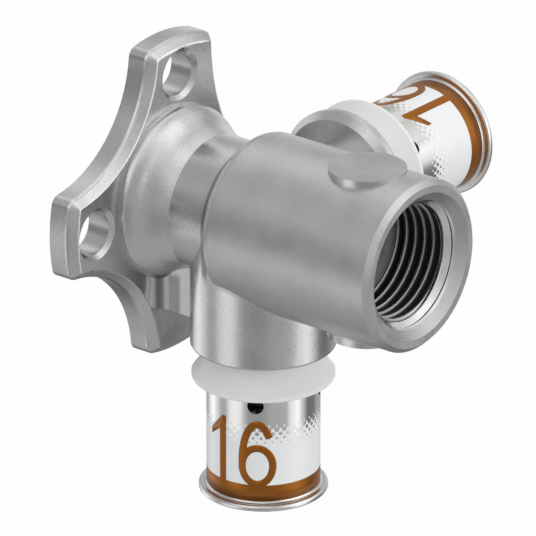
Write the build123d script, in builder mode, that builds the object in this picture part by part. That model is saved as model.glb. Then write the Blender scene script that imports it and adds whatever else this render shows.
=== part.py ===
from build123d import *
import os

os.makedirs("parts", exist_ok=True)

# Millimetres. The wall is the plane y = 0 and the fitting stands in front of it, towards -y.
# The origin is the middle of the wall plate's back face. The socket opens towards -y, one press
# connection points down, towards -z, and the other points sideways, towards +x.

# Wall plate
plate_thickness = 4.9
plate_drop = 0.5
plate_bevel = 1.4
plate_wall_round = 0.8
plate_face_round = 0.5
lobe_reach = 27.1
lobe_corner_radius = 1.8
left_waist_radius = 20.1
left_waist_centre = 27.0
right_waist_radius = 36.3
right_waist_x = 45.65
right_waist_z = 24.9
nose_radius = 4.0
screw_from_tip = 6.0
screw_hole_radius = 3.75
screw_countersink_radius = 4.45
screw_countersink_angle = 90

# Neck between the plate and the socket
axis_to_wall = 22.1
neck_radius = 11.45
flare_length = 6.8
flare_foot_radius = 14.6
flare_foot_shift = 1.3
flare_sections = ((0.0, 1.0), (0.2, 0.96), (0.45, 0.6), (0.75, 0.2), (1.0, 0.0))

# Rib under the neck
rib_half_width = 6.8
rib_drop = 17.7
rib_foot_radius = 3.1

# Threaded socket, G 1/2
socket_reach = 32.1
socket_radius = 14.25
socket_back_radius = 2.4
socket_rim_chamfer = 0.85
thread_major_radius = 10.48
thread_depth = 15.0
countersink_radius = 12.2
countersink_depth = 1.3
counterbore_radius = 10.7
counterbore_depth = 3.2
chamber_radius = 8.6
chamber_past_axis = 4.5
chamber_end_radius = 3.0

# Round pads on the top and the bottom of the socket
pad_radius = 6.3
pad_height = 14.4
pad_forward = 21.2

# Press connections. The branch's length is measured from the crossing of the axes, and what is
# on the nipple from the branch's end face.
branch_radius = 11.9
branch_length = 21.8
branch_edge_radius = 0.5
hub_radius = 7.5
collar_length = 2.7
collar_chamfer = 1.2
shoulder_radius = 7.5
shoulder_length = 2.6
nipple_radius = 5.85
nipple_bore_radius = 3.9
nipple_length = 23.8
nipple_lead_length = 1.6
nipple_lead_radius = 5.2
seal_groove_radius = 4.75
seal_groove_width = 1.75
seal_groove_places = (8.2, 13.2)
barb_count = 3
barb_start = 15.0
barb_pitch = 1.4
barb_depth = 0.35

# Sealing rings
seal_section_radius = 0.675
seal_clearance = 0.03

# Stop rings
ring_clearance = 0.05
ring_length = 5.8
ring_back_radius = 9.2
ring_flank_radius = 10.4
ring_flank_place = 3.0
ring_rim_radius = 11.7
ring_rim_width = 0.9
ring_rim_edge_radius = 0.55
ring_pocket_floor = 3.9

# Press sleeves
sleeve_radius = 9.3
sleeve_wall = 1.0
sleeve_length = 21.6
sleeve_lip_height = 1.28
sleeve_bend_radius = 0.4
sleeve_lip_edge_radius = 0.35
window_radius = 1.35
window_from_start = 3.4
window_count = 4
window_turn = 59.2

branch_axis = -axis_to_wall
mouth = branch_axis - socket_reach
flare_front = plate_thickness + flare_length
shoulder_end = branch_length + shoulder_length
nipple_end = branch_length + nipple_length
sleeve_start = branch_length + ring_pocket_floor
sleeve_end = sleeve_start + sleeve_length
sleeve_lip_radius = sleeve_radius + sleeve_lip_height
screw_circle_radius = lobe_reach - screw_from_tip

# Each press connection has a plane with y along its axis, away from the crossing of the axes.
crossing = (0, branch_axis, 0)
lower_connection = Plane(crossing, x_dir=(1, 0, 0), z_dir=(0, 1, 0))
side_connection = Plane(crossing, x_dir=(0, 0, 1), z_dir=(0, 1, 0))


def axis_of(connection):
    return Axis(connection.origin, connection.y_dir)


def cross_plane(connection, place):
    """The plane square to a connection's axis at a distance from the crossing."""
    return Plane(
        connection.origin + connection.y_dir * place,
        x_dir=connection.x_dir,
        z_dir=connection.y_dir,
    )


def plate_outline(inset):
    """The plate's outline, or one that runs inside it at an even distance.

    Two long waists join the three lobes on the left. On the right the top and the bottom lobe run
    out into a short nose behind the neck.
    """
    reach = lobe_reach - inset
    with BuildSketch() as outline:
        Circle(reach)
        for side in (1, -1):
            with Locations((-left_waist_centre, side * left_waist_centre)):
                Circle(left_waist_radius + inset, mode=Mode.SUBTRACT)
            with Locations((right_waist_x, side * right_waist_z)):
                Circle(right_waist_radius + inset, mode=Mode.SUBTRACT)
        fillet(outline.vertices().sort_by(Axis.X)[-1], nose_radius - inset)
        tip_corners = outline.vertices().group_by(lambda corner: round(corner.center().length))[-1]
        fillet(tip_corners, lobe_corner_radius - inset)
    return outline.sketch


# The plate's middle lies a little below the socket's axis.
with BuildPart() as plate:
    with BuildSketch(Plane.XZ):
        with Locations((0, -plate_drop)):
            add(plate_outline(0))
    extrude(amount=plate_thickness)
    plate_face = plate.faces().sort_by(Axis.Y)[0]
    chamfer(plate_face.outer_wire().edges(), plate_bevel)
    face_rim, wall_rim = plate.edges().filter_by(GeomType.LINE, reverse=True).group_by(Axis.Y)[:2]
    fillet(wall_rim, plate_wall_round)
    plate_face = plate.faces().sort_by(Axis.Y)[0]
    fillet(plate_face.outer_wire().edges(), plate_face_round)

# The neck spreads into a round foot on the plate, set towards the two screw holes. The rib under it
# has a hollow fillet against the plate on each side. Both end at the edge of the plate's face.
with BuildPart() as foot:
    for height, spread in flare_sections:
        shift = spread * flare_foot_shift
        with BuildSketch(Plane.XZ.offset(plate_thickness + height * flare_length)):
            with Locations((-shift, shift - spread * plate_drop)):
                Circle(neck_radius + spread * (flare_foot_radius - neck_radius))
    loft()
    with BuildSketch(Plane.XY):
        foot_front = -plate_thickness - rib_foot_radius
        with Locations((0, foot_front)):
            Rectangle(
                2 * (rib_half_width + rib_foot_radius),
                rib_foot_radius,
                align=(Align.CENTER, Align.MIN),
            )
        for side in (1, -1):
            with Locations((side * (rib_half_width + rib_foot_radius), foot_front)):
                Circle(rib_foot_radius, mode=Mode.SUBTRACT)
    extrude(amount=-rib_drop)
    with BuildSketch(Plane.XZ.offset(plate_thickness)):
        with Locations((0, -plate_drop)):
            add(plate_outline(plate_bevel))
    extrude(amount=flare_length, mode=Mode.INTERSECT)

with BuildPart() as rib:
    with BuildSketch(Plane.XZ.offset(plate_thickness)):
        Rectangle(2 * rib_half_width, rib_drop, align=(Align.CENTER, Align.MAX))
    extrude(amount=axis_to_wall - plate_thickness)


def corner_near(sketch, x, y):
    """The corner of a profile that lies nearest to a point."""
    return sketch.vertices().sort_by_distance((x, y, 0))[0]


def make_branch(connection, start, back_chamfer):
    """A press connection's cylinder, its shoulder for the stop ring and its nipple for the pipe."""
    with BuildPart() as branch:
        with BuildSketch(connection) as profile:
            with BuildLine():
                Polyline(
                    (0, start),
                    (branch_radius, start),
                    (branch_radius, branch_length),
                    (shoulder_radius, branch_length),
                    (shoulder_radius, shoulder_end),
                    (nipple_radius, shoulder_end),
                    (nipple_radius, nipple_end - nipple_lead_length),
                    (nipple_lead_radius, nipple_end),
                    (0, nipple_end),
                    close=True,
                )
            make_face()
            fillet(corner_near(profile, branch_radius, branch_length), branch_edge_radius)
            if back_chamfer:
                chamfer(corner_near(profile, branch_radius, start), back_chamfer)
        revolve(axis=axis_of(connection))
    return branch.part


def make_nipple_cuts(connection):
    """What is turned and drilled away: two seal grooves, the barbs' teeth and the waterway."""
    with BuildPart() as cuts:
        with BuildSketch(connection):
            for place in seal_groove_places:
                with Locations((seal_groove_radius, branch_length + place)):
                    Rectangle(nipple_radius, seal_groove_width, align=(Align.MIN, Align.CENTER))
            for barb in range(barb_count):
                tip = branch_length + barb_start + barb * barb_pitch
                with BuildLine():
                    Polyline(
                        (nipple_radius + barb_depth, tip),
                        (nipple_radius - barb_depth, tip),
                        (nipple_radius, tip + barb_pitch),
                        (nipple_radius + barb_depth, tip + barb_pitch),
                        close=True,
                    )
                make_face()
        revolve(axis=axis_of(connection))
        with BuildSketch(cross_plane(connection, 0)):
            Circle(nipple_bore_radius)
        extrude(amount=nipple_end)
    return cuts.part


with BuildPart() as body:
    add(plate.part)
    add(foot.part)
    add(rib.part)
    with BuildSketch(Plane.XZ.offset(flare_front)):
        Circle(neck_radius)
    extrude(amount=axis_to_wall - flare_front)

    # The socket, rounded at its rim and more so towards the neck
    with BuildSketch(Plane.XY) as socket_profile:
        socket_back = branch_axis + socket_back_radius
        with BuildLine():
            Polyline(
                (0, mouth),
                (socket_radius, mouth),
                (socket_radius, socket_back),
                (0, socket_back),
                close=True,
            )
        make_face()
        fillet(corner_near(socket_profile, socket_radius, socket_back), socket_back_radius)
        chamfer(corner_near(socket_profile, socket_radius, mouth), socket_rim_chamfer)
    revolve(axis=Axis.Y)

    with BuildSketch(Plane.XY.offset(-pad_height)):
        with Locations((0, branch_axis - pad_forward)):
            Circle(pad_radius)
    extrude(amount=2 * pad_height)

    # The lower branch is full up to the socket, and the side one is a collar on a slimmer hub.
    add(make_branch(lower_connection, 0, 0))
    add(make_branch(side_connection, branch_length - collar_length, collar_chamfer))
    with BuildSketch(cross_plane(side_connection, 0)):
        Circle(hub_radius)
    extrude(amount=branch_length - collar_length)

    # The socket's bore: countersink, plain counterbore, thread and the chamber behind it
    with BuildSketch(Plane.XY) as bore_profile:
        chamber_end = branch_axis + chamber_past_axis
        with BuildLine():
            Polyline(
                (0, mouth),
                (countersink_radius, mouth),
                (counterbore_radius, mouth + countersink_depth),
                (counterbore_radius, mouth + counterbore_depth),
                (thread_major_radius, mouth + counterbore_depth),
                (thread_major_radius, mouth + thread_depth),
                (chamber_radius, mouth + thread_depth),
                (chamber_radius, chamber_end),
                (0, chamber_end),
                close=True,
            )
        make_face()
        fillet(corner_near(bore_profile, chamber_radius, chamber_end), chamber_end_radius)
    revolve(axis=Axis.Y, mode=Mode.SUBTRACT)
    add(make_nipple_cuts(lower_connection), mode=Mode.SUBTRACT)
    add(make_nipple_cuts(side_connection), mode=Mode.SUBTRACT)

    # Screw holes in the top lobe and the left lobe
    with Locations(Plane.XZ.offset(plate_thickness)):
        with Locations((0, screw_circle_radius - plate_drop), (-screw_circle_radius, -plate_drop)):
            CounterSinkHole(
                screw_hole_radius,
                screw_countersink_radius,
                plate_thickness,
                screw_countersink_angle,
            )

body.part.label = "body"
export_step(body.part, "parts/body.step")


def make_stop_ring(connection):
    """The plastic ring: snug on the shoulder, with a pocket that holds the sleeve's inner end.

    Its flank widens from the branch's end face to a rounded rim.
    """
    pocket_radius = sleeve_radius + ring_clearance
    flange_radius = nipple_radius + ring_clearance
    bore_radius = shoulder_radius + ring_clearance
    flange_back = shoulder_end + ring_clearance
    ring_end = branch_length + ring_length
    with BuildPart() as ring:
        with BuildSketch(connection) as profile:
            with BuildLine():
                inside = Polyline(
                    (ring_rim_radius, ring_end - ring_rim_width),
                    (ring_rim_radius, ring_end),
                    (pocket_radius, ring_end),
                    (pocket_radius, sleeve_start),
                    (flange_radius, sleeve_start),
                    (flange_radius, flange_back),
                    (bore_radius, flange_back),
                    (bore_radius, branch_length),
                    (ring_back_radius, branch_length),
                )
                ThreePointArc(
                    inside @ 1,
                    (ring_flank_radius, branch_length + ring_flank_place),
                    inside @ 0,
                )
            make_face()
            fillet(corner_near(profile, ring_rim_radius, ring_end), ring_rim_edge_radius)
        revolve(axis=axis_of(connection))
    return ring.part


def make_press_sleeve(connection):
    """The press sleeve: a tube with an outward lip and small holes that show the pipe's end."""
    inner_radius = sleeve_radius - sleeve_wall
    lip_back = sleeve_end - sleeve_wall
    with BuildPart() as sleeve:
        with BuildSketch(connection) as profile:
            with BuildLine():
                Polyline(
                    (inner_radius, sleeve_start),
                    (sleeve_radius, sleeve_start),
                    (sleeve_radius, lip_back),
                    (sleeve_lip_radius, lip_back),
                    (sleeve_lip_radius, sleeve_end),
                    (inner_radius, sleeve_end),
                    close=True,
                )
            make_face()
            fillet(corner_near(profile, sleeve_lip_radius, lip_back), sleeve_lip_edge_radius)
            fillet(corner_near(profile, sleeve_lip_radius, sleeve_end), sleeve_lip_edge_radius)
            fillet(corner_near(profile, sleeve_radius, lip_back), sleeve_bend_radius)
            fillet(corner_near(profile, inner_radius, sleeve_end), sleeve_bend_radius + sleeve_wall)
        revolve(axis=axis_of(connection))
        middle = cross_plane(connection, sleeve_start + window_from_start)
        for window in range(window_count):
            turn = window_turn + window * 360 / window_count
            outward = middle.x_dir.rotate(Axis((0, 0, 0), middle.z_dir), turn)
            with BuildSketch(Plane(middle.origin, z_dir=outward)):
                Circle(window_radius)
            extrude(amount=sleeve_radius + sleeve_wall, mode=Mode.SUBTRACT)
    return sleeve.part


def make_seal(connection, place):
    """A sealing ring, just clear of its groove's floor and proud of the nipple."""
    ring_radius = seal_groove_radius + seal_clearance + seal_section_radius
    with BuildPart() as seal:
        with BuildSketch(connection):
            with Locations((ring_radius, branch_length + place)):
                Circle(seal_section_radius)
        revolve(axis=axis_of(connection))
    return seal.part


for side, connection in (("lower", lower_connection), ("side", side_connection)):
    stop_ring = make_stop_ring(connection)
    stop_ring.label = f"stop_ring_{side}"
    export_step(stop_ring, f"parts/stop_ring_{side}.step")

    press_sleeve = make_press_sleeve(connection)
    press_sleeve.label = f"press_sleeve_{side}"
    export_step(press_sleeve, f"parts/press_sleeve_{side}.step")

    for position, place in zip(("inner", "outer"), seal_groove_places):
        seal = make_seal(connection, place)
        seal.label = f"seal_{position}_{side}"
        export_step(seal, f"parts/seal_{position}_{side}.step")
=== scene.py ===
import math

import bmesh
import bpy
from mathutils import Matrix, Vector
from mathutils.geometry import delaunay_2d_cdt


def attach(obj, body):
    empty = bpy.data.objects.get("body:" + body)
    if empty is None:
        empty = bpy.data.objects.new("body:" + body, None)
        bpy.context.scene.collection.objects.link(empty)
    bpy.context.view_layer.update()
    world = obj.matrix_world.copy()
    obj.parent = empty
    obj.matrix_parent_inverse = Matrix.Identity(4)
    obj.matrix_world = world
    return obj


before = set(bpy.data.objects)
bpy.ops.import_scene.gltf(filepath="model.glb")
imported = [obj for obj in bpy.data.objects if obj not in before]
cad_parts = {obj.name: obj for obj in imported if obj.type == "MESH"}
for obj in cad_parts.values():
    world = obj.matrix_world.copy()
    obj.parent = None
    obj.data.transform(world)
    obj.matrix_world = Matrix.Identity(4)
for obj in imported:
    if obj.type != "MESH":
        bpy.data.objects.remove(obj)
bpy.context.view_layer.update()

# Metres. The wall is the plane y = 0, the outlet opens towards -y, and the press connections point
# towards -z and +x. Sizes and places on the fitting are in millimetres, and MM brings them to
# metres.
MM = 0.001

# Places of the CAD model that the materials and the added pieces line up with.
AXIS_TO_WALL = 22.1
CROSSING = Vector((0.0, -AXIS_TO_WALL, 0.0))
MOUTH = -54.2
SLEEVE_RADIUS = 9.3
ARC_PER_DEGREE = math.radians(1) * SLEEVE_RADIUS

# The camera. Azimuth and elevation are as in direction(), and the shifts are of the whole camera,
# seen from behind it. The last three give its lens, by a focal length counted in pixels of the
# photograph, which is square.
CAMERA_AZIMUTH = -51.27
CAMERA_ELEVATION = 23.2
CAMERA_DISTANCE = 1200.6
CAMERA_SHIFT_RIGHT = 0.75
CAMERA_SHIFT_UP = -8.02
FOCAL_PIXELS = 7462.1
PHOTO_SIDE = 536
SENSOR_WIDTH = 36.0

# The studio around the fitting, as its metal reflects it: a plain grey with soft boxes, and dark
# cards where the amount is below zero. Each has a name, an azimuth, an elevation, a half width in
# degrees, and the amount that it adds at its middle.
STUDIO_GREY = 0.51
STUDIO_BOXES = (
    ("front", 0, 4, 30, 1.12),
    ("front_right", 30, 4, 30, 0.90),
    ("front_below", 15, -24, 17, 0.60),
    ("front_right_below", 30, -24, 17, 0.30),
    ("front_above", 15, 32, 32, 0.42),
    ("right_above", 51, 32, 32, 0.50),
    ("left_above", -93, 32, 32, 0.50),
    ("right", 120, 4, 30, 0.40),
    ("left_strip", -111, -24, 22, 0.66),
    ("wall_level", 180, 4, 30, 0.42),
    ("wall_below", 180, -24, 17, 0.50),
    ("wall_left_below", -165, -24, 17, 0.46),
    ("top_left", -40, 60, 38, 0.42),
    ("top_right_wall", 122, 57, 38, 0.55),
    ("overhead", 0, 88, 38, 0.35),
    ("card_right_below", 58, -25, 26, -0.30),
    ("card_right_low", 108, -60, 45, -0.26),
    ("card_right_above", 130, 22, 26, -0.25),
    ("card_wall_low", 160, -55, 35, -0.15),
    ("card_left_below", -64, -24, 27, -0.14),
    ("card_left", -120, 4, 30, -0.23),
)

# Lamps: name, azimuth, elevation, distance and side in metres, and power in watts.
LAMPS = (
    ("key", 25, 42, 0.9, 0.5, 0.30),
    ("fill", -100, 35, 1.0, 0.6, 0.2),
)

# The floor, some way under the fitting. What the camera sees of it is mostly plain white.
FLOOR_HEIGHT = -70.0
FLOOR_SIDE = 4000.0
FLOOR_COLOUR = (0.8, 0.8, 0.8, 1.0)
FLOOR_WHITE_SHARE = 0.96
WHITE = (1.0, 1.0, 1.0, 1.0)

# The parts of a noise's range that a change is spread over.
NARROW = (0.3, 0.7)
WIDE = (0.2, 0.8)

# Darker and lighter colour of each material that varies between two.
RING_WHITES = ((0.83, 0.83, 0.825), (0.87, 0.87, 0.865))
RUBBER_BLACKS = ((0.01, 0.01, 0.01), (0.02, 0.02, 0.02))
STEELS = ((0.66, 0.655, 0.65), (0.76, 0.755, 0.75))
PRINT_WHITES = ((0.86, 0.87, 0.88), (0.91, 0.915, 0.92))
BROWN = (0.34, 0.118, 0.018)
PRINT_BROWNS = tuple(tuple(share * level for share in BROWN) for level in (0.88, 1.15))
# A lighter copy of the metal, a painted highlight on the thread's entry.
ENTRY_PAINTED_BRIGHTS = ((0.74, 0.74, 0.73), (0.80, 0.80, 0.79))
# Painted shade in the thread's flanks and roots.
THREAD_PAINTED_SHADES = ((0.03, 0.03, 0.03), (0.06, 0.06, 0.06))

# The casting. Its surface is one thing on the socket and another on the plate, neck and branches.
# Brightness and roughness vary by these amounts either way, and the bump is made of two grains.
SOCKET_METAL = 0.57
OTHER_METAL = 0.60
METAL_WARMTH = 0.985
CLOUD_BRIGHTNESS = 0.02
GRAIN_BRIGHTNESS = 0.05
SOCKET_ROUGHNESS = 0.38
OTHER_ROUGHNESS = 0.25
CLOUD_ROUGHNESS = 0.025
SOCKET_FINE_BUMP = 1.0
OTHER_FINE_BUMP = 0.35
SOCKET_COARSE_BUMP = 0.6
OTHER_COARSE_BUMP = 1.6

# Where the casting's surface and its painted shade change: each pair is where a change starts and
# where it is complete. The socket begins at its back and ends at its own radius around the outlet's
# axis.
SOCKET_FROM_Y = (-18.8, -19.5)
SOCKET_FROM_AXIS = (14.75, 14.45)
# Painted shade: a dark line in the crease behind the socket, on either side of its middle,
# all round but for the branches.
HOLLOW_MIDDLE_Y = -19.1
HOLLOW_FROM_MIDDLE = (1.1, 0.3)
HOLLOW_FROM_Z = (-9.0, -6.0)
HOLLOW_FROM_X = (8.8, 8.0)
HOLLOW_PAINTED_SHADE = 0.42
# Painted shade in the outlet's countersink and the start of its bore.
MOUTH_FROM_AXIS = (12.35, 12.25)
MOUTH_FROM_Y = (-45.0, -46.0)
MOUTH_PAINTED_SHADE = 0.82
# Painted shade in the nook under the neck, between the plate and the lower branch, where the rib
# stands, darkest at the rib's foot.
NOOK_FROM_Z = (-10.6, -11.8)
NOOK_FROM_PLATE_Y = (-5.3, -6.2)
NOOK_FROM_BRANCH_Y = (-10.6, -9.8)
RIB_TO_FOOT_X = (6.9, 7.6)
RIB_PAINTED_SHADE = 0.52
RIB_FOOT_PAINTED_SHADE = 0.36

# Print on the sleeves. Places are measured along the connection, from the crossing of the axes, and
# angles in degrees around it.
PRINT_START = 30.2
PRINT_FULL = 37.2
BAND_START = 43.1
BAND_END = 45.95
SIDE_PRINT_TURN = -199.8
LIP_ROUGHNESS = 0.23
STEEL_ROUGHNESS = (0.11, 0.17)
WHITE_ROUGHNESS = 0.3
# The pattern of bare dots, largest at the print's start. The turns keep the angle above zero.
DOT_PITCH_ANGLE = 7.95
DOT_ROW_PITCH = 0.74
DOT_LARGEST = 0.74
DOT_SMALLEST = 0.02
DOT_SOFTNESS = 0.05
DOT_TURNS = 720.0
# The size number, as on the lower sleeve.
ONE_STEM_LEFT = 169.6
ONE_STEM_RIGHT = 178.3
ONE_TOP = 31.7
ONE_TOP_LEFT = 173.6
ONE_ELBOW = 34.3
ONE_FLAG_LEFT = 155.6
ONE_FLAG_TOP = 34.85
ONE_FLAG_BOTTOM = 35.95
ONE_FOOT = BAND_START + 0.3
SIX_CENTRE = 212.6
SIX_STROKE = 1.24
SIX_HALF_ANGLE = 15.6
SIX_BOWL_PLACE = 39.7
SIX_BOWL_HALF = 3.18
SIX_BOWL_STEPS = 72
SIX_TOP = 32.3
SIX_SHOULDER = 38.9
SIX_TERMINAL = 321.0
SIX_HOOK_STEPS = 48
# The ink's surface stands a little proud of the steel, in flats of a few degrees.
PRINT_LIFT = 0.012
PRINT_DEPTH = 0.03
PRINT_STEP = 2.5

# The outlet's thread, G 1/2. FIRST_CREST is measured from the mouth and THREAD_SEAM in degrees
# around the bore.
THREAD_PITCH = 1.814
THREAD_MAJOR_RADIUS = 10.48
THREAD_MINOR_RADIUS = 9.316
THREAD_START = MOUTH + 3.2
THREAD_TURNS = 6
FIRST_CREST = 4.96
THREAD_SEAM = 140.0
THREAD_SHELL = 0.05
TURN_STEPS = 144
# The thread's ridge across one pitch: place along the axis as a share of the pitch, and radius. The
# root is clear of the plain bore. The crest's strips are bright, and the others dark with painted
# shade.
ROOT_RADIUS = THREAD_MAJOR_RADIUS - 0.09
THREAD_PROFILE = (
    (-0.5, ROOT_RADIUS),
    (-0.37, ROOT_RADIUS),
    (-0.18, THREAD_MINOR_RADIUS + 0.36),
    (-0.12, THREAD_MINOR_RADIUS + 0.11),
    (-0.09, THREAD_MINOR_RADIUS + 0.03),
    (-0.02, THREAD_MINOR_RADIUS),
    (0.08, THREAD_MINOR_RADIUS + 0.02),
    (0.14, THREAD_MINOR_RADIUS + 0.12),
    (0.37, ROOT_RADIUS),
)
CREST_STRIPS = (2, 3, 4, 5, 6)
# The thread's entry, between the mouth's countersink and the first groove: radius, and depth from
# the mouth. It is a ring of its own that lines the plain bore there.
ENTRY_PROFILE = (
    (10.69, 1.31),
    (10.42, 1.70),
    (10.40, 1.78),
    (10.56, 1.86),
    (10.56, 1.94),
    (10.37, 2.04),
    (10.30, 2.12),
    (9.72, 2.80),
    (9.66, 2.95),
    (9.68, 3.19),
    (10.69, 3.19),
)

# Points closer than WELD become one, also in the flat outlines by OUTLINE_WELD, and shorter edges
# than SHORTEST_EDGE are taken out.
WELD = 0.001
OUTLINE_WELD = 0.0001
SHORTEST_EDGE = 0.0005


# Camera, lights and surroundings


def direction(azimuth, elevation):
    """A unit vector: azimuth 0 is -y and 90 is +x, elevation is above the horizon, in degrees."""
    a = math.radians(azimuth)
    e = math.radians(elevation)
    return Vector((math.sin(a) * math.cos(e), -math.cos(a) * math.cos(e), math.sin(e)))


def place_camera():
    """The camera at the photograph's viewing angle, found by fitting the object's edges."""
    azimuth = math.radians(CAMERA_AZIMUTH)
    right = Vector((math.cos(azimuth), math.sin(azimuth), 0.0))
    back = direction(CAMERA_AZIMUTH, CAMERA_ELEVATION)
    up = back.cross(right)
    data = bpy.data.cameras.new("camera")
    data.sensor_width = SENSOR_WIDTH
    data.lens = SENSOR_WIDTH * FOCAL_PIXELS / PHOTO_SIDE
    data.clip_start = 0.01
    data.clip_end = 50.0
    camera = bpy.data.objects.new("camera", data)
    turn = Matrix((right, up, back)).transposed().to_4x4()
    shift = CAMERA_SHIFT_RIGHT * MM * right + CAMERA_SHIFT_UP * MM * up
    place = CROSSING * MM + shift + CAMERA_DISTANCE * MM * back
    camera.matrix_world = Matrix.Translation(place) @ turn
    bpy.context.scene.collection.objects.link(camera)
    bpy.context.scene.camera = camera


def add_lamp(name, azimuth, elevation, distance, side, power):
    """A square soft lamp that faces the fitting."""
    data = bpy.data.lights.new(name, "AREA")
    data.shape = "SQUARE"
    data.size = side
    data.energy = power
    lamp = bpy.data.objects.new(name, data)
    target = CROSSING * MM
    lamp.location = target + direction(azimuth, elevation) * distance
    lamp.rotation_mode = "QUATERNION"
    lamp.rotation_quaternion = (target - lamp.location).to_track_quat("-Z", "Y")
    bpy.context.scene.collection.objects.link(lamp)


class Nodes:
    """Short calls for building a node tree. A value is a plain one or another node's output."""

    def __init__(self, tree):
        self.tree = tree

    def put(self, value, socket):
        if isinstance(value, bpy.types.NodeSocket):
            self.tree.links.new(value, socket)
        else:
            socket.default_value = value

    def put_all(self, values, sockets):
        for value, socket in zip(values, sockets):
            self.put(value, socket)

    def make(self, kind, output=0, **inputs):
        """A node with the inputs named, and one of its outputs."""
        node = self.tree.nodes.new(kind)
        for name, value in inputs.items():
            self.put(value, node.inputs[name.replace("_", " ")])
        return node.outputs[output]

    def math(self, operation, *values):
        node = self.tree.nodes.new("ShaderNodeMath")
        node.operation = operation
        self.put_all(values, node.inputs)
        return node.outputs[0]

    def sum(self, value, *others):
        for other in others:
            value = self.math("ADD", value, other)
        return value

    def product(self, value, *others):
        for other in others:
            value = self.math("MULTIPLY", value, other)
        return value

    def distance(self, across, along):
        """The length of the diagonal over two sides."""
        squares = (self.product(side, side) for side in (across, along))
        return self.math("SQRT", self.math("ADD", *squares))

    def vector_math(self, operation, vector, other, output="Vector"):
        node = self.tree.nodes.new("ShaderNodeVectorMath")
        node.operation = operation
        self.put_all((vector, other), node.inputs)
        return node.outputs[output]

    def split(self, vector):
        """The x, y and z of a vector."""
        node = self.tree.nodes.new("ShaderNodeSeparateXYZ")
        self.put(vector, node.inputs[0])
        return tuple(node.outputs)

    def ramp(self, value, start, end, low=0.0, high=1.0):
        """A smooth step from low to high as value goes from start to end."""
        node = self.tree.nodes.new("ShaderNodeMapRange")
        node.interpolation_type = "SMOOTHSTEP"
        names = ("Value", "From Min", "From Max", "To Min", "To Max")
        self.put_all((value, start, end, low, high), (node.inputs[name] for name in names))
        return node.outputs["Result"]

    def sway(self, value, start, end, amount):
        """From -amount to amount as value goes from start to end."""
        return self.ramp(value, start, end, -amount, amount)

    def darken(self, mask, shade):
        """A factor that goes from 1 to shade as a mask goes from 0 to 1."""
        return self.ramp(mask, 0.0, 1.0, 1.0, shade)

    def mix(self, factor, first, second):
        """A colour between two."""
        node = self.tree.nodes.new("ShaderNodeMix")
        node.data_type = "RGBA"
        self.put_all((factor, first, second), (node.inputs[i] for i in (0, 6, 7)))
        return node.outputs[2]

    def mix_number(self, factor, first, second):
        """A number between two."""
        node = self.tree.nodes.new("ShaderNodeMix")
        self.put_all((factor, first, second), (node.inputs[i] for i in (0, 2, 3)))
        return node.outputs[0]

    def mix_shader(self, factor, first, second):
        node = self.tree.nodes.new("ShaderNodeMixShader")
        self.put_all((factor, first, second), node.inputs)
        return node.outputs[0]

    def rays(self):
        """What kind of ray asks, as outputs by name."""
        return self.tree.nodes.new("ShaderNodeLightPath").outputs


def make_world():
    """White where the camera looks past the fitting, and elsewhere the studio."""
    world = bpy.data.worlds.new("studio")
    bpy.context.scene.world = world
    world.use_nodes = True
    nodes = Nodes(world.node_tree)
    looking = nodes.make("ShaderNodeTexCoord")
    brightness = STUDIO_GREY
    for _, azimuth, elevation, half_width, amount in STUDIO_BOXES:
        middle = tuple(direction(azimuth, elevation))
        near = nodes.vector_math("DOT_PRODUCT", looking, middle, output="Value")
        box = nodes.ramp(near, math.cos(math.radians(half_width)), 1.0, 0.0, amount)
        brightness = nodes.sum(brightness, box)
    rays = nodes.rays()
    white = nodes.math("MAXIMUM", rays["Is Camera Ray"], rays["Is Transmission Ray"])
    studio = nodes.make(
        "ShaderNodeCombineColor", Red=brightness, Green=brightness, Blue=brightness
    )
    background = nodes.tree.nodes["Background"]
    nodes.put(nodes.mix(white, studio, WHITE), background.inputs["Color"])
    background.inputs["Strength"].default_value = 1.0


def make_floor():
    """A pale floor some way under the fitting. The camera sees it nearly white, faintly shaded."""
    mesh = bpy.data.meshes.new("floor")
    half = FLOOR_SIDE / 2 * MM
    corners = [(-half, -half, 0), (half, -half, 0), (half, half, 0), (-half, half, 0)]
    mesh.from_pydata(corners, [], [(0, 1, 2, 3)])
    floor = bpy.data.objects.new("floor", mesh)
    floor.location = (0, 0, FLOOR_HEIGHT * MM)
    bpy.context.scene.collection.objects.link(floor)
    material = bpy.data.materials.new("pale_floor")
    material.use_nodes = True
    nodes = Nodes(material.node_tree)
    nodes.tree.nodes.remove(nodes.tree.nodes["Principled BSDF"])
    paper = nodes.make("ShaderNodeBsdfDiffuse", Color=FLOOR_COLOUR)
    white = nodes.make("ShaderNodeEmission", Color=WHITE, Strength=1.0)
    rays = nodes.rays()
    share = nodes.product(rays["Is Camera Ray"], FLOOR_WHITE_SHARE)
    seen = nodes.mix_shader(share, paper, white)
    clear = nodes.make("ShaderNodeBsdfTransparent")
    shown = nodes.mix_shader(rays["Is Glossy Ray"], seen, clear)
    nodes.put(shown, nodes.tree.nodes["Material Output"].inputs["Surface"])
    mesh.materials.append(material)


# Materials


def new_material(name, **settings):
    """A material with a Principled shader, its plain values set on the shader's own sockets."""
    material = bpy.data.materials.new(name)
    material.use_nodes = True
    nodes = Nodes(material.node_tree)
    shader = material.node_tree.nodes["Principled BSDF"]
    for socket, value in settings.items():
        shader.inputs[socket.replace("_", " ")].default_value = value
    return material, nodes, shader


def object_place(nodes):
    """The place on the fitting, in millimetres."""
    place = nodes.make("ShaderNodeTexCoord", output="Object")
    return nodes.vector_math("MULTIPLY", place, (1 / MM, 1 / MM, 1 / MM))


def noise(nodes, place, size, detail=2.0):
    """Noise from 0 to 1 with grains of about the given size."""
    return nodes.make("ShaderNodeTexNoise", Vector=place, Scale=1 / size, Detail=detail)


def colours(nodes, pattern, pair):
    """From a pair's first colour to its second, by a pattern."""
    return nodes.mix(pattern, *((*colour, 1.0) for colour in pair))


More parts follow.
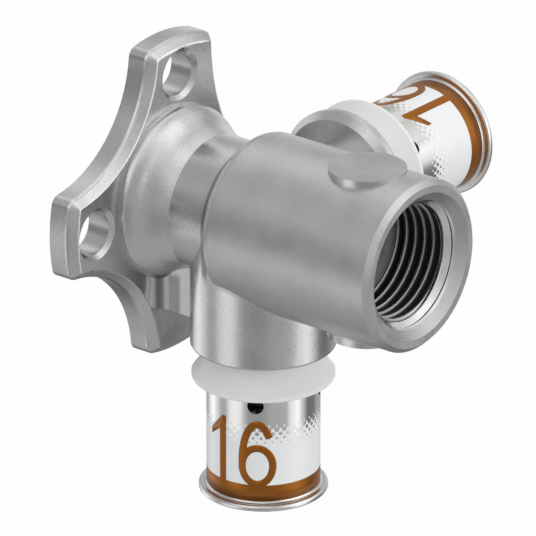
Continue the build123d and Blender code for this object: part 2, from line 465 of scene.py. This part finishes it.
def add_finish(nodes, shader, pattern, pair, smoother, rougher):
    """A colour and a roughness that both vary with one pattern."""
    nodes.put(colours(nodes, pattern, pair), shader.inputs["Base Color"])
    nodes.put(nodes.ramp(pattern, *WIDE, smoother, rougher), shader.inputs["Roughness"])


def add_bump(nodes, shader, height, depth):
    normal = nodes.make("ShaderNodeBump", Height=height, Strength=1.0, Distance=depth * MM)
    nodes.put(normal, shader.inputs["Normal"])


def casting_painted_shade(nodes, x, y, z, from_axis, on_socket):
    """A factor of painted shade that darkens the casting's hollow, mouth and nook."""
    from_hollow = nodes.math("ABSOLUTE", nodes.math("SUBTRACT", y, HOLLOW_MIDDLE_Y))
    hollow = nodes.product(
        nodes.ramp(from_hollow, *HOLLOW_FROM_MIDDLE),
        on_socket,
        nodes.ramp(z, *HOLLOW_FROM_Z),
        nodes.ramp(x, *HOLLOW_FROM_X),
    )
    mouth = nodes.product(nodes.ramp(from_axis, *MOUTH_FROM_AXIS), nodes.ramp(y, *MOUTH_FROM_Y))
    nook = nodes.product(
        nodes.ramp(z, *NOOK_FROM_Z),
        nodes.ramp(y, *NOOK_FROM_PLATE_Y),
        nodes.ramp(y, *NOOK_FROM_BRANCH_Y),
    )
    from_middle = nodes.math("ABSOLUTE", x)
    nook_painted_shade = nodes.ramp(from_middle, *RIB_TO_FOOT_X, RIB_PAINTED_SHADE, RIB_FOOT_PAINTED_SHADE)
    return nodes.product(
        nodes.darken(hollow, HOLLOW_PAINTED_SHADE),
        nodes.darken(mouth, MOUTH_PAINTED_SHADE),
        nodes.mix_number(nook, 1.0, nook_painted_shade),
    )


def make_body_metal():
    """Satin plated casting, finely blasted on the socket and smoother on the rest."""
    material, nodes, shader = new_material("body_metal", Metallic=1.0)
    place = object_place(nodes)
    x, y, z = nodes.split(place)
    from_axis = nodes.distance(x, z)
    on_socket = nodes.ramp(from_axis, *SOCKET_FROM_AXIS)
    blasted = nodes.product(nodes.ramp(y, *SOCKET_FROM_Y), on_socket)
    cloud = noise(nodes, place, size=5.0, detail=3.0)
    grain = noise(nodes, place, size=0.22)
    pit = noise(nodes, place, size=0.9, detail=3.0)
    light = nodes.sum(
        nodes.mix_number(blasted, OTHER_METAL, SOCKET_METAL),
        nodes.sway(cloud, *NARROW, CLOUD_BRIGHTNESS),
        nodes.sway(grain, *WIDE, GRAIN_BRIGHTNESS),
    )
    # Painted shade: the base colour is darkened behind the socket, in the mouth and in the nook.
    light = nodes.product(light, casting_painted_shade(nodes, x, y, z, from_axis, on_socket))
    colour = nodes.make(
        "ShaderNodeCombineColor", Red=light, Green=light, Blue=nodes.product(light, METAL_WARMTH)
    )
    nodes.put(colour, shader.inputs["Base Color"])
    roughness = nodes.sum(
        nodes.mix_number(blasted, OTHER_ROUGHNESS, SOCKET_ROUGHNESS),
        nodes.sway(cloud, *NARROW, CLOUD_ROUGHNESS),
    )
    nodes.put(roughness, shader.inputs["Roughness"])
    fine = nodes.product(grain, nodes.mix_number(blasted, OTHER_FINE_BUMP, SOCKET_FINE_BUMP))
    coarse = nodes.product(pit, nodes.mix_number(blasted, OTHER_COARSE_BUMP, SOCKET_COARSE_BUMP))
    add_bump(nodes, shader, nodes.sum(fine, coarse), depth=0.012)
    return material


def make_ring_plastic():
    """Satin white plastic with the faint mottle of a moulded surface."""
    material, nodes, shader = new_material(
        "ring_plastic",
        Subsurface_Weight=0.2,
        Subsurface_Radius=(1.0, 0.95, 0.9),
        Subsurface_Scale=0.8 * MM,
        IOR=1.5,
    )
    place = object_place(nodes)
    mottle = noise(nodes, place, size=2.5)
    add_finish(nodes, shader, mottle, RING_WHITES, smoother=0.38, rougher=0.48)
    add_bump(nodes, shader, noise(nodes, place, size=0.3), depth=0.006)
    return material


def make_rubber():
    """Smooth black rubber."""
    material, nodes, shader = new_material("seal_rubber", IOR=1.5)
    grain = noise(nodes, object_place(nodes), size=0.15)
    add_finish(nodes, shader, grain, RUBBER_BLACKS, smoother=0.35, rougher=0.5)
    add_bump(nodes, shader, grain, depth=0.004)
    return material


def make_print_brown():
    """Copper brown ink, with the steel's shine coming through."""
    material, nodes, shader = new_material("print_brown", Metallic=0.75, IOR=1.3)
    place = object_place(nodes)
    cloud = noise(nodes, place, size=1.5, detail=3.0)
    add_finish(nodes, shader, cloud, PRINT_BROWNS, smoother=0.30, rougher=0.38)
    add_bump(nodes, shader, noise(nodes, place, size=0.12), depth=0.001)
    return material


def make_entry_painted_bright():
    """The turned cone at the thread's entry, in a lighter metal than the casting's: a painted
    highlight.
    """
    material, nodes, shader = new_material("entry_painted_bright", Metallic=1.0)
    grain = noise(nodes, object_place(nodes), size=0.3)
    add_finish(nodes, shader, grain, ENTRY_PAINTED_BRIGHTS, smoother=0.2, rougher=0.28)
    add_bump(nodes, shader, grain, depth=0.001)
    return material


def make_thread_painted_shade():
    """The thread's flanks and roots, dark with painted shade."""
    material, nodes, shader = new_material("thread_painted_shade", Metallic=0.6)
    grain = noise(nodes, object_place(nodes), size=0.2, detail=3.0)
    add_finish(nodes, shader, grain, THREAD_PAINTED_SHADES, smoother=0.4, rougher=0.6)
    add_bump(nodes, shader, grain, depth=0.01)
    return material


def around_and_along(nodes, place, side):
    """The angle around a connection, in degrees, and the place along it from the crossing."""
    x, y, z = nodes.split(place)
    across, along = (x, nodes.product(z, -1.0)) if side == "lower" else (z, x)
    depth = nodes.sum(y, AXIS_TO_WALL)
    angle = nodes.product(nodes.math("ARCTAN2", depth, across), math.degrees(1))
    return angle, along


def half_the_dots(nodes, angle, along, shift, radius):
    """1 inside a dot. One call makes every other row, and a shift the rows between them."""
    offsets = []
    for value, pitch, length in (
        (angle, DOT_PITCH_ANGLE, DOT_PITCH_ANGLE * ARC_PER_DEGREE),
        (along, 2 * DOT_ROW_PITCH, 2 * DOT_ROW_PITCH),
    ):
        within = nodes.math("FRACT", nodes.sum(nodes.math("DIVIDE", value, pitch), shift))
        offsets.append(nodes.product(nodes.math("SUBTRACT", within, 0.5), length))
    inside = nodes.math("SUBTRACT", radius, nodes.distance(*offsets))
    return nodes.ramp(inside, -DOT_SOFTNESS, DOT_SOFTNESS)


def make_sleeve_steel(side, turn):
    """Polished stainless steel. A white ground fades in through a pattern of bare dots.

    The sleeve's lip, past the print, is a little duller. The steel is drawn along the sleeve.
    """
    material, nodes, shader = new_material(
        f"sleeve_steel_{side}", Coat_Weight=0.35, Coat_Roughness=0.12
    )
    place = object_place(nodes)
    angle, along = around_and_along(nodes, place, side)
    angle = nodes.sum(angle, DOT_TURNS - turn)
    radius = nodes.ramp(along, PRINT_START, PRINT_FULL, DOT_LARGEST, DOT_SMALLEST)
    halves = [half_the_dots(nodes, angle, along, shift, radius) for shift in (0.0, 0.5)]
    bare = nodes.math("MAXIMUM", *halves)
    in_print = nodes.math("LESS_THAN", along, BAND_END)
    white = nodes.product(nodes.math("SUBTRACT", 1.0, bare), in_print)
    drawn = (1.0, 1.0, 0.05) if side == "lower" else (0.05, 1.0, 1.0)
    streaks = noise(nodes, nodes.vector_math("MULTIPLY", place, drawn), size=0.5, detail=3.0)
    steel = colours(nodes, streaks, STEELS)
    ground = colours(nodes, noise(nodes, place, size=3.0), PRINT_WHITES)
    nodes.put(nodes.mix(white, steel, ground), shader.inputs["Base Color"])
    nodes.put(nodes.math("SUBTRACT", 1.0, white), shader.inputs["Metallic"])
    roughness = nodes.ramp(streaks, *NARROW, *STEEL_ROUGHNESS)
    roughness = nodes.mix_number(in_print, LIP_ROUGHNESS, roughness)
    roughness = nodes.mix_number(white, roughness, WHITE_ROUGHNESS)
    nodes.put(roughness, shader.inputs["Roughness"])
    add_bump(nodes, shader, streaks, depth=0.002)
    return material


# Pieces


def dress(node, material):
    """Gives a CAD node its material."""
    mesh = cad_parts[node].data
    mesh.materials.clear()
    mesh.materials.append(material)


def finish_piece(name, shape, slot, *materials):
    """Scales a shape from millimetres and adds it as a piece that rides with the fitting."""
    bmesh.ops.scale(shape, vec=(MM, MM, MM), verts=shape.verts)
    mesh = bpy.data.meshes.new(name)
    shape.to_mesh(mesh)
    shape.free()
    piece = bpy.data.objects.new(name, mesh)
    bpy.context.scene.collection.objects.link(piece)
    for material in materials:
        mesh.materials.append(material)
    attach(piece, "root")
    return piece


def add_thickness(piece, thickness):
    """Gives a thin surface depth on its hidden side."""
    thick = piece.modifiers.new("thickness", "SOLIDIFY")
    thick.thickness = thickness * MM
    thick.offset = -1.0


def cut(shape, place, normal, clear_outer=False):
    """Cuts a shape's faces along a plane, and may drop what lies past it."""
    whole = shape.verts[:] + shape.edges[:] + shape.faces[:]
    bmesh.ops.bisect_plane(
        shape, geom=whole, plane_co=place, plane_no=normal, clear_outer=clear_outer
    )


def point_in_bore(angle, radius, depth):
    """A point around the outlet's axis, at a depth from the mouth."""
    return (radius * math.cos(angle), MOUTH + depth, radius * math.sin(angle))


def face_towards_axis(shape):
    """Turns each face of the bore's lining to the side that shows."""
    for face in shape.faces:
        middle = face.calc_center_median()
        if face.normal.x * middle.x + face.normal.z * middle.z > 0:
            face.normal_flip()


def make_thread(crest, groove):
    """The outlet's right-hand thread: one helical ridge, cut off square where it starts.

    It is made as one turn of parallel ridges. Their seam, where each joins the next, is on the
    bore's side towards the wall plate's left lobe.
    """
    ridges = range(THREAD_TURNS + 1)
    rows = [(ridge + share, radius) for ridge in ridges for share, radius in THREAD_PROFILE]
    shape = bmesh.new()
    grid = []
    for step in range(TURN_STEPS + 1):
        turned = step / TURN_STEPS + THREAD_SEAM / 360
        column = []
        for lead, radius in rows:
            depth = FIRST_CREST + (lead - 1 - turned) * THREAD_PITCH
            column.append(shape.verts.new(point_in_bore(2 * math.pi * turned, radius, depth)))
        grid.append(column)
    for first, second in zip(grid, grid[1:]):
        for row in range(len(rows) - 1):
            face = shape.faces.new((first[row], first[row + 1], second[row + 1], second[row]))
            face.material_index = 0 if row % len(THREAD_PROFILE) in CREST_STRIPS else 1
    bmesh.ops.remove_doubles(shape, verts=shape.verts, dist=WELD)
    cut(shape, (0, THREAD_START, 0), (0, -1, 0), clear_outer=True)
    face_towards_axis(shape)
    add_thickness(finish_piece("outlet_thread", shape, "body_metal", crest, groove), THREAD_SHELL)


def make_thread_entry(metal):
    """The turned cone and grooves before the thread, as a closed ring."""
    shape = bmesh.new()
    rings = []
    for step in range(TURN_STEPS):
        angle = 2 * math.pi * step / TURN_STEPS
        rings.append([shape.verts.new(point_in_bore(angle, *point)) for point in ENTRY_PROFILE])
    for first, second in zip(rings, rings[1:] + rings[:1]):
        for i in range(len(ENTRY_PROFILE)):
            j = (i + 1) % len(ENTRY_PROFILE)
            shape.faces.new((first[i], first[j], second[j], second[i]))
    bmesh.ops.recalc_face_normals(shape, faces=shape.faces)
    finish_piece("thread_entry", shape, "body_metal", metal)


def ellipse_points(centre, half_width, half_height, start, end, steps):
    """Points on an ellipse from one angle to another, 0 towards +x and 90 towards +y."""
    points = []
    for step in range(steps + 1):
        t = math.radians(start + (end - start) * step / steps)
        points.append((centre[0] + half_width * math.cos(t), centre[1] + half_height * math.sin(t)))
    return points


def stroke(path, width, closed=False):
    """Quads of a line of even width along a path."""
    points = [Vector(p) for p in path]
    if closed:
        points = points[:-1]
    count = len(points)
    left, right = [], []
    for i, point in enumerate(points):
        before = points[i - 1] if closed or i > 0 else point
        after = points[(i + 1) % count] if closed or i < count - 1 else point
        along = (after - before).normalized()
        across = Vector((-along.y, along.x)) * width / 2
        left.append(point + across)
        right.append(point - across)
    quads = []
    for i in range(count if closed else count - 1):
        j = (i + 1) % count
        quads.append([left[i], left[j], right[j], right[i]])
    return quads


def number_faces():
    """The size number 16 and the band under it, as flat polygons of arc length and place."""
    band = ((0, BAND_START), (360, BAND_START), (360, BAND_END), (0, BAND_END))
    flag = (
        (ONE_STEM_LEFT, ONE_ELBOW),
        (ONE_FLAG_LEFT, ONE_FLAG_BOTTOM),
        (ONE_FLAG_LEFT, ONE_FLAG_TOP),
        (ONE_TOP_LEFT, ONE_TOP),
        (ONE_STEM_RIGHT, ONE_TOP),
        (ONE_STEM_RIGHT, ONE_ELBOW),
    )
    stem = (
        (ONE_STEM_LEFT, ONE_ELBOW),
        (ONE_STEM_RIGHT, ONE_ELBOW),
        (ONE_STEM_RIGHT, ONE_FOOT),
        (ONE_STEM_LEFT, ONE_FOOT),
    )
    faces = [
        [Vector((angle * ARC_PER_DEGREE, place)) for angle, place in points]
        for points in (band, flag, stem)
    ]
    middle = SIX_CENTRE * ARC_PER_DEGREE
    half_width = SIX_HALF_ANGLE * ARC_PER_DEGREE
    bowl = ellipse_points(
        (middle, SIX_BOWL_PLACE), half_width, SIX_BOWL_HALF, 0, 360, SIX_BOWL_STEPS
    )
    hook_half = SIX_SHOULDER - SIX_TOP
    hook = ellipse_points(
        (middle, SIX_SHOULDER), half_width, hook_half, 180, SIX_TERMINAL, SIX_HOOK_STEPS
    )
    hook.insert(0, (hook[0][0], SIX_BOWL_PLACE))
    return faces + stroke(bowl, SIX_STROKE, closed=True) + stroke(hook, SIX_STROKE)


def covers(face, point):
    """Whether a polygon has the point inside."""
    inside = False
    for a, b in zip(face, face[1:] + face[:1]):
        if (a.y > point.y) != (b.y > point.y):
            crossing_x = a.x + (point.y - a.y) * (b.x - a.x) / (b.y - a.y)
            if crossing_x > point.x:
                inside = not inside
    return inside


def union_of(faces):
    """One flat mesh that covers all the polygons once."""
    points, indices = [], []
    for face in faces:
        indices.append(list(range(len(points), len(points) + len(face))))
        points += face
    merged, _, triangles, _, _, _ = delaunay_2d_cdt(points, [], indices, 0, OUTLINE_WELD)
    shape = bmesh.new()
    corners = [shape.verts.new((p.x, p.y, 0.0)) for p in merged]
    for triangle in triangles:
        middle = sum((merged[i] for i in triangle), Vector((0.0, 0.0))) / 3
        if any(covers(face, middle) for face in faces):
            shape.faces.new([corners[i] for i in triangle])
    loose = [corner for corner in corners if not corner.link_faces]
    bmesh.ops.delete(shape, geom=loose, context="VERTS")
    return shape


def make_number(side, turn, material):
    """The brown print on one sleeve: the band and the size number, wrapped around the steel."""
    shape = union_of(number_faces())
    for step in range(1, int(360 / PRINT_STEP)):
        cut(shape, (step * PRINT_STEP * ARC_PER_DEGREE, 0, 0), (1, 0, 0))
    radius = SLEEVE_RADIUS + PRINT_LIFT
    for vert in shape.verts:
        angle = math.radians(vert.co.x / ARC_PER_DEGREE + turn)
        place = vert.co.y
        across = radius * math.cos(angle)
        depth = radius * math.sin(angle)
        if side == "lower":
            vert.co = CROSSING + Vector((across, depth, -place))
        else:
            vert.co = CROSSING + Vector((place, depth, across))
    bmesh.ops.remove_doubles(shape, verts=shape.verts, dist=WELD)
    bmesh.ops.dissolve_degenerate(shape, edges=shape.edges, dist=SHORTEST_EDGE)
    for face in shape.faces:
        outward = face.calc_center_median() - CROSSING
        outward[2 if side == "lower" else 0] = 0
        if face.normal.dot(outward) < 0:
            face.normal_flip()
        face.smooth = True
    add_thickness(finish_piece(f"size_print_{side}", shape, "sleeve_steel", material), PRINT_DEPTH)


place_camera()
make_world()
make_floor()
for lamp in LAMPS:
    add_lamp(*lamp)

body_metal = make_body_metal()
dress("body", body_metal)
ring_plastic = make_ring_plastic()
rubber = make_rubber()
print_brown = make_print_brown()
for side, turn in (("lower", 0.0), ("side", SIDE_PRINT_TURN)):
    dress(f"stop_ring_{side}", ring_plastic)
    dress(f"press_sleeve_{side}", make_sleeve_steel(side, turn))
    dress(f"seal_inner_{side}", rubber)
    dress(f"seal_outer_{side}", rubber)
    make_number(side, turn, print_brown)
make_thread(body_metal, make_thread_painted_shade())
make_thread_entry(make_entry_painted_bright())

bpy.context.scene.view_settings.view_transform = "Standard"
